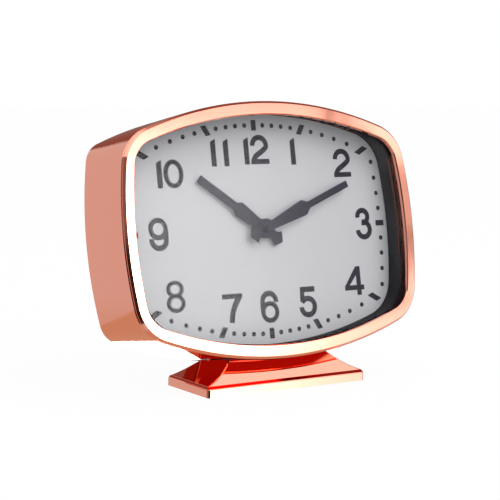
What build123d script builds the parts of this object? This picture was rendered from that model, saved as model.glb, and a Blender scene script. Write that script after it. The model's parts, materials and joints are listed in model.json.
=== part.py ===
from build123d import *
import os
from math import cos, pi, radians, sin

# Table clock: a copper-plated barrel case leaning back on a flared foot, with a quartz movement.
# Millimetres, +Z up, the dial faces -Y. The origin is on the table, under the middle of the foot.
os.makedirs("parts", exist_ok=True)

# Stance
lean = radians(11.2)
hand_height = 82.8
hand_setback = 7.4
dial_rise = 1.25

# Case outline: half sizes, the radii of its bulging sides, and its corners front and back
half_width = 92.8
half_height = 68.3
crown_radius = 214.0
flank_radius = 239.0
front_corner = 23.0
back_corner = 12.5
wall = 2.2

# Depths from the dial's front face, towards the viewer
case_front = 12.5
case_back = -27.0
dial_thickness = 1.2
ledge_thickness = 2.2
ledge_width = 10.0
edge_bevel = 0.4
rim_bevel = 1.3
lip_bevel = 0.5

# Bezel, glass and surround
bezel_front = 15.2
flange_back = 13.6
opening_half_width = 86.6
opening_half_height = 61.0
opening_corner = 15.5
groove_depth = 1.4
skirt_back = 4.0
skirt_wall = 1.6
slip = 0.3
lens_thickness = 2.0
surround_half_width = 84.9
surround_half_height = 61.75
surround_corner = 22.0

# Rear cover
cover_thickness = 2.2
cover_boss_x = 81.5
cover_boss_y = 38.0
boss_radius = 4.0
screw_radius = 1.25
head_radius = 3.0
head_angle = 90.0
screw_length = 13.0
window = 64.0
window_corner = 4.0
well_wall = 1.4
well_front = -12.0

# Foot
plinth_width = 101.2
plinth_depth = 41.0
plinth_top = 4.9
plinth_corner = 2.0
side_step = 1.0
front_step = 2.3
step_top = 6.1
neck_half_width = 30.1
neck_half_depth = 8.5
neck_height = 18.0
flank_mid_height = 10.5
side_mid_share = 0.5
front_mid_share = 0.68
foot_overlap = 24.0
shadow_gap = 0.4
land_width = 63.0
land_depth = 20.0
pad_width = 96.0
pad_depth = 36.0
pad_thickness = 1.6
pad_corner = 3.0
plinth_bevel = 0.4
arris_bevel = 0.35
pad_proud = 0.4
foot_screw_x = 20.0
foot_screw_w = -11.0
foot_screw_seat = -62.5
foot_screw_radius = 1.5
foot_screw_length = 13.5
foot_screw_head = 2.2
seat_height = 3.5
seat_radius = 5.0

# Hands: time shown, depths and outlines
hour_angle = -54.3
minute_angle = 68.4
hand_thickness = 0.5
hour_hand_back = 1.7
minute_hand_back = 3.4
hour_shape = dict(
    length=47.8,
    bar_start=21.5,
    shoulder=19.1,
    bar_half=2.2,
    paddle_half=4.3,
    neck_half=2.57,
    barb=(4.9, -9.8),
    tail=-13.4,
)
minute_shape = dict(
    length=61.0,
    bar_start=31.4,
    shoulder=27.9,
    bar_half=1.85,
    paddle_half=4.35,
    neck_half=2.05,
    barb=(5.1, -8.1),
    tail=-11.3,
)
hand_boss = 5.3
notch_x_share = 0.64
notch_y_share = 0.82
root_x_share = 0.64
root_y_share = 0.77
collet_radius = 4.6
collet_back = 2.7
cap_base_radius = 2.85
cap_front_radius = 2.4
cap_length = 4.5
cap_bore_depth = 2.5
cap_bevel = 0.25

# Movement box
box_width = 57.0
box_top = 27.5
box_bottom = -29.5
box_corner = 3.0
box_wall = 1.2
box_front = -1.8
box_split = -10.0
box_back = -17.8
bush_radius = 3.5
bush_bore = 2.6
bush_front = 1.5
nut_across_flats = 9.6
nut_thickness = 1.3
washer_radius = 10.0
fit = 0.02
clearance = 0.05

# Battery bay
cell_radius = 7.1
cell_length = 49.2
nub_radius = 2.7
nub_length = 1.2
cell_y = -20.6
cell_w = -10.2
bay_wall_y = -12.5
bay_mouth_width = 53.2
bay_mouth_height = 14.8
bay_wall = 1.0
cell_bevel = 0.6
contact_height = 11.0
contact_width = 9.0
contact_thickness = 0.6
contact_gap = 0.1

# Wheels: layers from the front, modules and tooth shape
gear_width = 1.0
layer_hour = -4.4
layer_motion = -5.9
layer_minute = -7.6
layer_third = -9.2
layer_seconds = -10.9
layer_drive = -12.6
fine_module = 0.25
third_module = 0.3
motion_module = 0.5
addendum = 0.7
dedendum = 1.0
root_share = 0.27
tip_share = 0.10
seconds_teeth = 60
seconds_pinion = 8
third_teeth = 60
third_pinion = 8
minute_teeth = 64
intermediate_teeth = 50
intermediate_pinion = 10
rotor_pinion = 10
cannon_teeth = 10
motion_teeth = 30
motion_pinion = 8
hour_teeth = 32
setting_teeth = 12
post_radius = 0.4
post_reach = 0.2
motion_post_radius = 0.85
arbor_radius = 0.5
minute_tube_radius = 1.5
hour_tube_radius = 2.5
hour_seat_radius = 2.2
clutch_radius = 2.2
clutch_flange = 0.35
collar_radius = 2.0
collar_height = 0.3
third_hub_radius = 0.8
motion_hub_radius = 1.4
rotor_hub_radius = 0.95
seconds_arbor_front = 2.0
socket_radius = 1.6
socket_height = 1.2
pivot_radius = 0.6
shaft_radius = 1.1

# Setting knob
knob_radius = 5.5
knob_front = -18.3
knob_back = -22.5
knob_flutes = 12
flute_radius = 0.6

# Stepping motor and driver board
stator_back = -15.0
stator_thickness = 0.8
stator_post_places = [(-11.7, 21.0), (15.7, 21.0)]
stator_web_bottom = 9.9
stator_web_top = 17.5
stator_arm_top = 24.5
arm_width = 4.5
magnet_radius = 2.3
magnet_gap = 0.5
magnet_back = -16.0
magnet_front = -13.0
coil_y = 22.0
core_width = 3.0
core_thickness = 1.0
coil_left = -8.8
coil_right = 12.8
tube_radius = 1.7
flange_radius = 2.7
flange_thickness = 0.8
winding_radius = 2.4
board_back = -15.4
board_thickness = 1.0
board_centre = (-20.3, 17.6)
board_width = 12.0
board_height = 16.0
board_post_places = [(-24.6, 12.0), (-17.0, 24.0)]
board_post_radius = 1.2
chip_place = (-18.6, 14.6)
chip_radius = 2.4
chip_taper = 20.0
crystal_place = (-24.2, 15.0)
crystal_radius = 1.0
crystal_length = 6.2

# Wheel axes about the hands' axis, each by its distance and its direction from the wheel that drives it
third_direction = -10.0
intermediate_direction = 100.0
rotor_direction = 40.0
motion_direction = 190.0
setting_direction = 130.0


def leaning_plane(rise):
    """Plane parallel to the dial, this far up the dial from the hands' axis."""
    return Plane(
        origin=(0, hand_setback + rise * sin(lean), hand_height + rise * cos(lean)),
        x_dir=(1, 0, 0),
        z_dir=(0, -cos(lean), sin(lean)),
    )


hand_plane = leaning_plane(0)
case_plane = leaning_plane(-dial_rise)
case_axis = Axis(case_plane.origin, case_plane.z_dir)


def barrel(width, height, corner):
    """Rectangle of these half sizes with four bulging sides and rounded corners."""
    with BuildSketch() as outline:
        with Locations((0, height - crown_radius)):
            Circle(crown_radius)
        with Locations((0, crown_radius - height)):
            Circle(crown_radius, mode=Mode.INTERSECT)
        for side in (-1, 1):
            with Locations(Location((side * (width - flank_radius), 0, 0), (0, 0, 90))):
                Circle(flank_radius, mode=Mode.INTERSECT)
        fillet(outline.vertices(), corner)
    return outline.sketch


def inset_barrel(inset, corner=front_corner):
    """Case outline drawn in by this much all round."""
    return barrel(half_width - inset, half_height - inset, corner - inset)


def case_body(grow):
    """Outside of the case, from its round-cornered front to its squarer back, with both rims bevelled."""
    sections = [
        (case_front, edge_bevel, front_corner),
        (case_front - edge_bevel, 0, front_corner),
        (case_back + edge_bevel, 0, back_corner),
        (case_back, edge_bevel, back_corner),
    ]
    with BuildPart() as body:
        for depth, inset, corner in sections:
            with BuildSketch(case_plane.offset(depth)):
                add(inset_barrel(inset - grow, corner))
        loft(ruled=True)
    return body.part


def polar(distance, direction):
    """Point at this distance and direction, in degrees from the three o'clock side."""
    return (distance * cos(radians(direction)), distance * sin(radians(direction)))


def centre_distance(module, teeth, other_teeth):
    """Distance between two wheels in mesh."""
    return module * (teeth + other_teeth) / 2


def meshing_turn(teeth, driver_teeth, direction, driver_turn=0.0):
    """Turn that sets a gap of this wheel on the tooth of its driver, which lies opposite the direction."""
    driver_share = (driver_turn - direction) * driver_teeth / 360
    return direction + 180 + (0.5 - driver_share) * 360 / teeth


def gear_outline(teeth, module):
    """Straight-flanked teeth, slim enough to run with play, one of them on the local X axis."""
    pitch = teeth * module / 2
    root = pitch - dedendum * module
    tip = pitch + addendum * module
    points = []
    for tooth in range(teeth):
        for radius, share in ((root, -root_share), (tip, -tip_share), (tip, tip_share), (root, root_share)):
            turn = (tooth + share) * 2 * pi / teeth
            points.append((radius * cos(turn), radius * sin(turn)))
    with BuildSketch() as outline:
        with BuildLine():
            Polyline(*points, close=True)
        make_face()
    return outline.sketch


def hand_outline(length, bar_start, shoulder, bar_half, paddle_half, neck_half, barb, tail):
    """Paddle hand pointing at twelve, with a barbed tail; barb is the tail's barb as (x, y)."""
    blade = [
        (neck_half, 0),
        (paddle_half, shoulder),
        (bar_half, bar_start),
        (bar_half, length),
    ]
    notch = (notch_x_share * barb[0], notch_y_share * barb[1])
    root = (root_x_share * hand_boss, -root_y_share * hand_boss)
    with BuildSketch() as outline:
        Circle(hand_boss)
        with BuildLine():
            Polyline(*blade, *[(-x, y) for x, y in reversed(blade)], close=True)
        make_face()
        with BuildLine():
            ThreePointArc(root, notch, barb)
            Polyline(barb, (0, tail), (-barb[0], barb[1]))
            ThreePointArc((-barb[0], barb[1]), (-notch[0], notch[1]), (-root[0], root[1]))
            Line((-root[0], root[1]), root)
        make_face()
    return outline.sketch


# Case shell: walls, the ledge that carries the dial, bosses for the cover and seats for the foot's screws
ledge_front = -dial_thickness
ledge_back = ledge_front - ledge_thickness
cover_seat = case_back + cover_thickness
boss_places = [(x, y) for x in (-cover_boss_x, cover_boss_x) for y in (-cover_boss_y, cover_boss_y)]
foot_screw_planes = [
    Plane(
        origin=case_plane.from_local_coords((x, foot_screw_seat, foot_screw_w)),
        x_dir=(1, 0, 0),
        z_dir=-case_plane.y_dir,
    )
    for x in (-foot_screw_x, foot_screw_x)
]

with BuildPart() as case_shell:
    add(case_body(0))
    with BuildSketch(case_plane.offset(case_front)):
        add(inset_barrel(wall))
    extrude(amount=ledge_front - case_front, mode=Mode.SUBTRACT)
    with BuildSketch(case_plane.offset(ledge_front)):
        add(inset_barrel(wall + ledge_width))
    extrude(amount=-ledge_thickness, mode=Mode.SUBTRACT)
    with BuildSketch(case_plane.offset(ledge_back)):
        add(inset_barrel(wall, back_corner))
    extrude(amount=case_back - ledge_back, mode=Mode.SUBTRACT)
    with BuildSketch(case_plane.offset(ledge_back)):
        with Locations(*boss_places):
            Circle(boss_radius)
    extrude(amount=cover_seat - ledge_back)
    with BuildSketch(case_plane.offset(cover_seat)):
        with Locations(*boss_places):
            Circle(screw_radius + clearance)
    extrude(amount=screw_length, mode=Mode.SUBTRACT)
    for plane in foot_screw_planes:
        with BuildSketch(plane):
            Circle(seat_radius)
        extrude(amount=seat_height)
        with BuildSketch(plane):
            Circle(foot_screw_radius + slip)
        extrude(amount=foot_screw_length, mode=Mode.SUBTRACT)
case_shell.part.label = "case_shell"
export_step(case_shell.part, "parts/case_shell.step")

# Bezel: bevelled flange, the neck of the shadow groove and the skirt inside the case
with BuildPart() as bezel:
    with BuildSketch(case_plane.offset(flange_back)):
        add(inset_barrel(0))
    extrude(amount=bezel_front - flange_back)
    with BuildSketch(case_plane.offset(case_front)):
        add(inset_barrel(groove_depth))
    extrude(amount=flange_back - case_front)
    with BuildSketch(case_plane.offset(skirt_back)):
        add(inset_barrel(wall + slip))
    extrude(amount=case_front - skirt_back)
    with BuildSketch(case_plane.offset(skirt_back)):
        add(inset_barrel(wall + slip + skirt_wall))
    extrude(amount=case_front - skirt_back, mode=Mode.SUBTRACT)
    with BuildSketch(case_plane.offset(case_front)):
        add(barrel(opening_half_width, opening_half_height, opening_corner))
    extrude(amount=bezel_front - case_front, mode=Mode.SUBTRACT)
    front_face = bezel.faces().filter_by(case_axis).sort_by(case_axis)[-1]
    chamfer(front_face.outer_wire().edges(), rim_bevel)
    front_face = bezel.faces().filter_by(case_axis).sort_by(case_axis)[-1]
    chamfer(front_face.inner_wires().edges(), lip_bevel)
bezel.part.label = "bezel"
export_step(bezel.part, "parts/bezel.step")

# Glass behind the bezel's lip, and the dark surround that holds it off the dial
inner_inset = wall + slip + skirt_wall + slip
lens_back = case_front - lens_thickness

with BuildPart() as lens:
    with BuildSketch(case_plane.offset(lens_back)):
        add(inset_barrel(inner_inset))
    extrude(amount=lens_thickness)
lens.part.label = "lens"
export_step(lens.part, "parts/lens.step")

with BuildPart() as dial_surround:
    with BuildSketch(case_plane):
        add(inset_barrel(inner_inset))
        with Locations((0, dial_rise)):
            add(barrel(surround_half_width, surround_half_height, surround_corner), mode=Mode.SUBTRACT)
    extrude(amount=lens_back)
dial_surround.part.label = "dial_surround"
export_step(dial_surround.part, "parts/dial_surround.step")

# Dial sheet on the case's ledge
with BuildPart() as dial_plate:
    with BuildSketch(case_plane):
        add(inset_barrel(wall + slip))
        with Locations((0, dial_rise)):
            Circle(bush_radius + slip, mode=Mode.SUBTRACT)
    extrude(amount=-dial_thickness)
dial_plate.part.label = "dial_plate"
export_step(dial_plate.part, "parts/dial_plate.step")

# Rear cover with the window and its well around the movement
back_plane = Plane(
    origin=case_plane.from_local_coords((0, 0, case_back)),
    x_dir=(1, 0, 0),
    z_dir=-case_plane.z_dir,
)
window_y = (box_top + box_bottom) / 2 + dial_rise

with BuildPart() as rear_cover:
    with BuildSketch(case_plane.offset(case_back)):
        add(inset_barrel(wall + slip, back_corner))
    extrude(amount=cover_thickness)
    with BuildSketch(case_plane.offset(cover_seat)):
        with Locations((0, window_y)):
            RectangleRounded(window + 2 * well_wall, window + 2 * well_wall, window_corner + well_wall)
    extrude(amount=well_front - cover_seat)
    with BuildSketch(case_plane.offset(case_back)):
        with Locations((0, window_y)):
            RectangleRounded(window, window, window_corner)
    extrude(amount=well_front - case_back, mode=Mode.SUBTRACT)
    with Locations(back_plane):
        with Locations(*boss_places):
            CounterSinkHole(screw_radius + clearance, head_radius + clearance, cover_thickness, head_angle)
rear_cover.part.label = "rear_cover"
export_step(rear_cover.part, "parts/rear_cover.step")

# Countersunk screws of the rear cover
with BuildPart() as rear_cover_screws:
    with Locations(back_plane):
        with Locations(*boss_places):
            Cone(
                screw_radius,
                head_radius,
                head_radius - screw_radius,
                align=(Align.CENTER, Align.CENTER, Align.MAX),
            )
            Cylinder(screw_radius, screw_length, align=(Align.CENTER, Align.CENTER, Align.MAX))
rear_cover_screws.part.label = "rear_cover_screws"
export_step(rear_cover_screws.part, "parts/rear_cover_screws.step")


def flank_profile(plinth_half, step, neck_half, mid_share):
    """Profile of the foot across one direction: a sloping step, a curved flank and the neck."""
    step_half = plinth_half - step
    mid_half = neck_half + mid_share * (step_half - neck_half)
    with BuildSketch() as profile:
        with BuildLine():
            Polyline((0, plinth_top), (plinth_half - plinth_bevel, plinth_top), (step_half, step_top))
            ThreePointArc((step_half, step_top), (mid_half, flank_mid_height), (neck_half, neck_height))
            Polyline((neck_half, neck_height), (neck_half, foot_overlap), (0, foot_overlap))
            mirror(about=Plane.YZ)
        make_face()
    return profile.sketch


def flared_body():
    """Upper part of the foot, drawn in towards its neck on all four sides."""
    with BuildPart() as body:
        with BuildSketch(Plane.XZ):
            add(flank_profile(plinth_width / 2, side_step, neck_half_width, side_mid_share))
        extrude(amount=plinth_depth / 2, both=True)
        with BuildSketch(Plane.YZ):
            add(flank_profile(plinth_depth / 2, front_step, neck_half_depth, front_mid_share))
        extrude(amount=plinth_width / 2, both=True, mode=Mode.INTERSECT)
        flank_edges = body.edges().filter_by_position(Axis.Z, step_top, neck_height)
        arrises = flank_edges.filter_by(GeomType.LINE, reverse=True).sort_by(SortBy.LENGTH)[-4:]
        chamfer(arrises, arris_bevel)
        with BuildSketch(Plane.XY.offset(plinth_top)):
            RectangleRounded(
                plinth_width - 2 * plinth_bevel,
                plinth_depth - 2 * plinth_bevel,
                plinth_corner - plinth_bevel,
            )
        extrude(amount=foot_overlap - plinth_top, mode=Mode.INTERSECT)
    return body.part


# Foot: plinth and flared body, saddled to the case with a land that touches and a shadow gap around it
with BuildPart() as foot:
    with BuildSketch(Plane.XY.offset(pad_proud)):
        RectangleRounded(plinth_width, plinth_depth, plinth_corner)
    extrude(amount=plinth_top - pad_proud)
    chamfer(foot.faces().sort_by(Axis.Z)[-1].edges(), plinth_bevel)
    add(flared_body())
    add(case_body(shadow_gap), mode=Mode.SUBTRACT)
    with BuildSketch(Plane.XY.offset(step_top)):
        Rectangle(land_width, land_depth)
    extrude(amount=foot_overlap - step_top)
    add(case_body(0), mode=Mode.SUBTRACT)
    with BuildSketch(Plane.XY.offset(pad_proud)):
        RectangleRounded(pad_width + 2 * slip, pad_depth + 2 * slip, pad_corner)
    extrude(amount=pad_thickness - pad_proud, mode=Mode.SUBTRACT)
    for plane in foot_screw_planes:
        with BuildSketch(plane):
            Circle(foot_screw_radius + clearance)
        extrude(amount=foot_screw_length + slip, mode=Mode.SUBTRACT)
foot.part.label = "foot"
export_step(foot.part, "parts/foot.step")

with BuildPart() as base_pad:
    with BuildSketch(Plane.XY):
        RectangleRounded(pad_width, pad_depth, pad_corner)
    extrude(amount=pad_thickness)
base_pad.part.label = "base_pad"
export_step(base_pad.part, "parts/base_pad.step")

with BuildPart() as foot_screws:
    for plane in foot_screw_planes:
        with BuildSketch(plane):
            Circle(head_radius)
        extrude(amount=-foot_screw_head)
        with BuildSketch(plane):
            Circle(foot_screw_radius)
        extrude(amount=foot_screw_length)
foot_screws.part.label = "foot_screws"
export_step(foot_screws.part, "parts/foot_screws.step")

# Hands and the cap nut that holds them
minute_hand_front = minute_hand_back + hand_thickness

with BuildPart() as hour_hand:
    with BuildSketch(hand_plane.offset(hour_hand_back)):
        add(hand_outline(**hour_shape), rotation=-hour_angle)
        Circle(hour_seat_radius + fit, mode=Mode.SUBTRACT)
    extrude(amount=hand_thickness)
hour_hand.part.label = "hour_hand"
export_step(hour_hand.part, "parts/hour_hand.step")

with BuildPart() as minute_hand:
    with BuildSketch(hand_plane.offset(minute_hand_back)):
        add(hand_outline(**minute_shape), rotation=-minute_angle)
    extrude(amount=hand_thickness)
    with BuildSketch(hand_plane.offset(collet_back)):
        Circle(collet_radius)
    extrude(amount=minute_hand_back - collet_back)
    with BuildSketch(hand_plane.offset(collet_back)):
        Circle(minute_tube_radius + fit)
    extrude(amount=minute_hand_front - collet_back, mode=Mode.SUBTRACT)
minute_hand.part.label = "minute_hand"
export_step(minute_hand.part, "parts/minute_hand.step")

with BuildPart() as hand_cap:
    with Locations(hand_plane.offset(minute_hand_front)):
        Cone(
            cap_base_radius,
            cap_front_radius,
            cap_length,
            align=(Align.CENTER, Align.CENTER, Align.MIN),
        )
    chamfer(hand_cap.edges().sort_by(case_axis)[-1], cap_bevel)
    with BuildSketch(hand_plane.offset(minute_hand_front)):
        Circle(minute_tube_radius + clearance)
    extrude(amount=cap_bore_depth, mode=Mode.SUBTRACT)
hand_cap.part.label = "hand_cap"
export_step(hand_cap.part, "parts/hand_cap.step")

# Movement box: a front half with the bush and a rear half with the battery bay
box_centre = (0, (box_top + box_bottom) / 2)
box_height = box_top - box_bottom
inner_width = box_width - 2 * box_wall
inner_height = box_height - 2 * box_wall
inner_front = box_front - box_wall
inner_back = box_back + box_wall

# Axes of the wheels
minute_module = 2 * centre_distance(third_module, third_teeth, seconds_pinion) / (minute_teeth + third_pinion)
third_place = polar(centre_distance(third_module, third_teeth, seconds_pinion), third_direction)
intermediate_place = polar(
    centre_distance(fine_module, seconds_teeth, intermediate_pinion), intermediate_direction
)
rotor_step = polar(centre_distance(fine_module, intermediate_teeth, rotor_pinion), rotor_direction)
rotor_place = (intermediate_place[0] + rotor_step[0], intermediate_place[1] + rotor_step[1])
motion_place = polar(centre_distance(motion_module, motion_teeth, cannon_teeth), motion_direction)
setting_step = polar(centre_distance(motion_module, motion_teeth, setting_teeth), setting_direction)
setting_place = (motion_place[0] + setting_step[0], motion_place[1] + setting_step[1])

with BuildPart() as movement_front_housing:
    with BuildSketch(hand_plane.offset(box_split)):
        with Locations(box_centre):
            RectangleRounded(box_width, box_height, box_corner)
    extrude(amount=box_front - box_split)
    with BuildSketch(hand_plane.offset(box_split)):
        with Locations(box_centre):
            RectangleRounded(inner_width, inner_height, box_corner - box_wall)
        with Locations((0, bay_wall_y)):
            Rectangle(box_width, bay_wall, mode=Mode.SUBTRACT)
    extrude(amount=inner_front - box_split, mode=Mode.SUBTRACT)
    with BuildSketch(hand_plane.offset(box_front)):
        Circle(bush_radius)
    extrude(amount=bush_front - box_front)
    with BuildSketch(hand_plane.offset(inner_front)):
        Circle(bush_bore)
    extrude(amount=bush_front - inner_front, mode=Mode.SUBTRACT)
    with BuildSketch(hand_plane.offset(inner_front)):
        with Locations(motion_place):
            Circle(motion_post_radius)
    extrude(amount=layer_motion - slip - inner_front)
    with BuildSketch(hand_plane.offset(inner_front)):
        with Locations(setting_place):
            Circle(socket_radius)
            Circle(pivot_radius + clearance, mode=Mode.SUBTRACT)
    extrude(amount=-socket_height)
movement_front_housing.part.label = "movement_front_housing"
export_step(movement_front_housing.part, "parts/movement_front_housing.step")

# Posts of the rear half, as (place, radius, front end)
wheel_posts = [
    (third_place, post_radius, layer_minute + gear_width + post_reach),
    (intermediate_place, post_radius, layer_seconds + gear_width + post_reach),
    (rotor_place, post_radius, layer_drive + gear_width + post_reach),
]
board_posts = [(place, board_post_radius, board_back) for place in board_post_places]
stator_posts = [(place, board_post_radius, stator_back) for place in stator_post_places]

with BuildPart() as movement_rear_housing:
    with BuildSketch(hand_plane.offset(box_back)):
        with Locations(box_centre):
            RectangleRounded(box_width, box_height, box_corner)
    extrude(amount=box_split - box_back)
    with BuildSketch(hand_plane.offset(inner_back)):
        with Locations(box_centre):
            RectangleRounded(inner_width, inner_height, box_corner - box_wall)
        with Locations((0, bay_wall_y)):
            Rectangle(box_width, bay_wall, mode=Mode.SUBTRACT)
    extrude(amount=box_split - inner_back, mode=Mode.SUBTRACT)
    with BuildSketch(hand_plane.offset(box_back)):
        with Locations((0, cell_y)):
            RectangleRounded(bay_mouth_width, bay_mouth_height, box_wall)
        with Locations(setting_place):
            Circle(shaft_radius + 2 * clearance)
    extrude(amount=box_wall, mode=Mode.SUBTRACT)
    for place, radius, front in wheel_posts + board_posts + stator_posts:
        with BuildSketch(hand_plane.offset(inner_back)):
            with Locations(place):
                Circle(radius)
        extrude(amount=front - inner_back)
    with BuildSketch(hand_plane.offset(inner_back)):
        Circle(socket_radius)
        Circle(arbor_radius + clearance, mode=Mode.SUBTRACT)
    extrude(amount=socket_height)
movement_rear_housing.part.label = "movement_rear_housing"
export_step(movement_rear_housing.part, "parts/movement_rear_housing.step")

with BuildPart() as dial_washer:
    with BuildSketch(hand_plane.offset(box_front)):
        Circle(washer_radius)
        Circle(bush_radius + slip, mode=Mode.SUBTRACT)
    extrude(amount=-dial_thickness - box_front)
dial_washer.part.label = "dial_washer"
export_step(dial_washer.part, "parts/dial_washer.step")

with BuildPart() as bush_nut:
    with BuildSketch(hand_plane):
        RegularPolygon(nut_across_flats / 2, 6, major_radius=False)
        Circle(bush_radius + fit, mode=Mode.SUBTRACT)
    extrude(amount=nut_thickness)
bush_nut.part.label = "bush_nut"
export_step(bush_nut.part, "parts/bush_nut.step")

# Battery and its two contacts, along the bay
bay_plane = Plane(
    origin=hand_plane.from_local_coords((0, cell_y, cell_w)),
    x_dir=hand_plane.y_dir,
    z_dir=(1, 0, 0),
)
nub_end = cell_length / 2 + nub_length

with BuildPart() as battery_cell:
    with BuildSketch(bay_plane.offset(-cell_length / 2)):
        Circle(cell_radius)
    extrude(amount=cell_length)
    chamfer(battery_cell.edges().filter_by(GeomType.CIRCLE), cell_bevel)
    with BuildSketch(bay_plane.offset(cell_length / 2)):
        Circle(nub_radius)
    extrude(amount=nub_length)
battery_cell.part.label = "battery_cell"
export_step(battery_cell.part, "parts/battery_cell.step")

with BuildPart() as contact_positive:
    with BuildSketch(bay_plane.offset(inner_width / 2)):
        Rectangle(contact_height, contact_width)
    extrude(amount=-contact_thickness)
    with BuildSketch(bay_plane.offset(nub_end + contact_gap)):
        Circle(nub_radius)
    extrude(amount=inner_width / 2 - contact_thickness - nub_end - contact_gap)
contact_positive.part.label = "contact_positive"
export_step(contact_positive.part, "parts/contact_positive.step")

leaf_start = -inner_width / 2 + contact_thickness
leaf_end = -cell_length / 2 - contact_gap

with BuildPart() as contact_negative:
    with BuildSketch(bay_plane.offset(-inner_width / 2)):
        Rectangle(contact_height, contact_width)
    extrude(amount=contact_thickness)
    with BuildSketch(bay_plane.offset(leaf_start)):
        Rectangle(contact_height / 2, contact_width)
    with BuildSketch(bay_plane.offset(leaf_end)):
        Rectangle(contact_height / 2, contact_thickness)
    loft()
contact_negative.part.label = "contact_negative"
export_step(contact_negative.part, "parts/contact_negative.step")

# Driver board with its chip, and the crystal can beside it
with BuildPart() as circuit_board:
    with BuildSketch(hand_plane.offset(board_back)):
        with Locations(board_centre):
            Rectangle(board_width, board_height)
    extrude(amount=board_thickness)
    with BuildSketch(hand_plane.offset(board_back + board_thickness)):
        with Locations(chip_place):
            Circle(chip_radius)
    extrude(amount=board_thickness, taper=chip_taper)
circuit_board.part.label = "circuit_board"
export_step(circuit_board.part, "parts/circuit_board.step")

crystal_plane = Plane(
    origin=hand_plane.from_local_coords(
        (crystal_place[0], crystal_place[1], board_back + board_thickness + crystal_radius + fit)
    ),
    x_dir=(1, 0, 0),
    z_dir=hand_plane.y_dir,
)

with BuildPart() as quartz_crystal:
    with BuildSketch(crystal_plane):
        Circle(crystal_radius)
    extrude(amount=crystal_length)
quartz_crystal.part.label = "quartz_crystal"
export_step(quartz_crystal.part, "parts/quartz_crystal.step")

# Stepping motor: stator plate, core and bobbin, winding
stator_left, stator_right = stator_post_places[0][0], stator_post_places[1][0]
arm_middle_y = (stator_web_top + stator_arm_top) / 2

with BuildPart() as stator:
    with BuildSketch(hand_plane.offset(stator_back)):
        with Locations(((stator_left + stator_right) / 2, (stator_web_bottom + stator_web_top) / 2)):
            Rectangle(stator_right - stator_left + arm_width, stator_web_top - stator_web_bottom)
        with Locations((stator_left, arm_middle_y), (stator_right, arm_middle_y)):
            Rectangle(arm_width, stator_arm_top - stator_web_top)
        with Locations(rotor_place):
            Circle(magnet_radius + magnet_gap, mode=Mode.SUBTRACT)
    extrude(amount=stator_thickness)
stator.part.label = "stator"
export_step(stator.part, "parts/stator.step")

core_back = stator_back + stator_thickness
coil_plane = Plane(
    origin=hand_plane.from_local_coords((0, coil_y, core_back + core_thickness / 2)),
    x_dir=hand_plane.y_dir,
    z_dir=(1, 0, 0),
)

with BuildPart() as coil_bobbin:
    with BuildSketch(coil_plane.offset(stator_left - arm_width / 2)):
        Rectangle(core_width, core_thickness)
    extrude(amount=stator_right - stator_left + arm_width)
    with BuildSketch(coil_plane.offset(coil_left)):
        Circle(tube_radius)
    extrude(amount=coil_right - coil_left)
    for start in (coil_left, coil_right - flange_thickness):
        with BuildSketch(coil_plane.offset(start)):
            Circle(flange_radius)
        extrude(amount=flange_thickness)
coil_bobbin.part.label = "coil_bobbin"
export_step(coil_bobbin.part, "parts/coil_bobbin.step")

with BuildPart() as coil_winding:
    with BuildSketch(coil_plane.offset(coil_left + flange_thickness + fit)):
        Circle(winding_radius)
        Circle(tube_radius + fit, mode=Mode.SUBTRACT)
    extrude(amount=coil_right - coil_left - 2 * flange_thickness - 2 * fit)
coil_winding.part.label = "coil_winding"
export_step(coil_winding.part, "parts/coil_winding.step")


def disc(radius):
    """Round outline of a hub, shaft or magnet."""
    with BuildSketch() as outline:
        Circle(radius)
    return outline.sketch


def stack(place, stages, bore=0.0):
    """Solid of outlines stacked along one axis, each as (outline, turn, back, front), with one bore."""
    with BuildPart() as body:
        for outline, turn, back, front in stages:
            with BuildSketch(hand_plane.offset(back)):
                with Locations(place):
                    add(outline, rotation=turn)
            extrude(amount=front - back)
        if bore:
            back = min(stage[2] for stage in stages)
            front = max(stage[3] for stage in stages)
            with BuildSketch(hand_plane.offset(back)):
                with Locations(place):
                    Circle(bore)
            extrude(amount=front - back, mode=Mode.SUBTRACT)
    return body.part


def gear_stage(teeth, module, back, turn=0.0):
    """One toothed layer of a wheel."""
    return (gear_outline(teeth, module), turn, back, back + gear_width)


def disc_stage(radius, back, front):
    """One plain round layer of a wheel."""
    return (disc(radius), 0.0, back, front)


wheel_bore = post_radius + clearance
minute_front = layer_minute + gear_width

# Going train, from the rotor to the minute wheel
rotor_turn = meshing_turn(rotor_pinion, intermediate_teeth, rotor_direction)

with BuildPart() as rotor:
    add(
        stack(
            rotor_place,
            [
                disc_stage(magnet_radius, magnet_back, magnet_front),
                disc_stage(rotor_hub_radius, magnet_front, layer_drive),
                gear_stage(rotor_pinion, fine_module, layer_drive, rotor_turn),
            ],
            wheel_bore,
        )
    )
rotor.part.label = "rotor"
export_step(rotor.part, "parts/rotor.step")

intermediate_turn = meshing_turn(intermediate_pinion, seconds_teeth, intermediate_direction)

with BuildPart() as intermediate_wheel:
    add(
        stack(
            intermediate_place,
            [
                gear_stage(intermediate_teeth, fine_module, layer_drive),
                disc_stage(rotor_hub_radius, layer_drive + gear_width, layer_seconds),
                gear_stage(intermediate_pinion, fine_module, layer_seconds, intermediate_turn),
            ],
            wheel_bore,
        )
    )
intermediate_wheel.part.label = "intermediate_wheel"
export_step(intermediate_wheel.part, "parts/intermediate_wheel.step")

with BuildPart() as seconds_wheel:
    add(
        stack(
            (0, 0),
            [
                disc_stage(arbor_radius, inner_back + slip, seconds_arbor_front),
                gear_stage(seconds_teeth, fine_module, layer_seconds),
                gear_stage(seconds_pinion, third_module, layer_third),
            ],
        )
    )
seconds_wheel.part.label = "seconds_wheel"
export_step(seconds_wheel.part, "parts/seconds_wheel.step")

third_turn = meshing_turn(third_teeth, seconds_pinion, third_direction)

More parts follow.
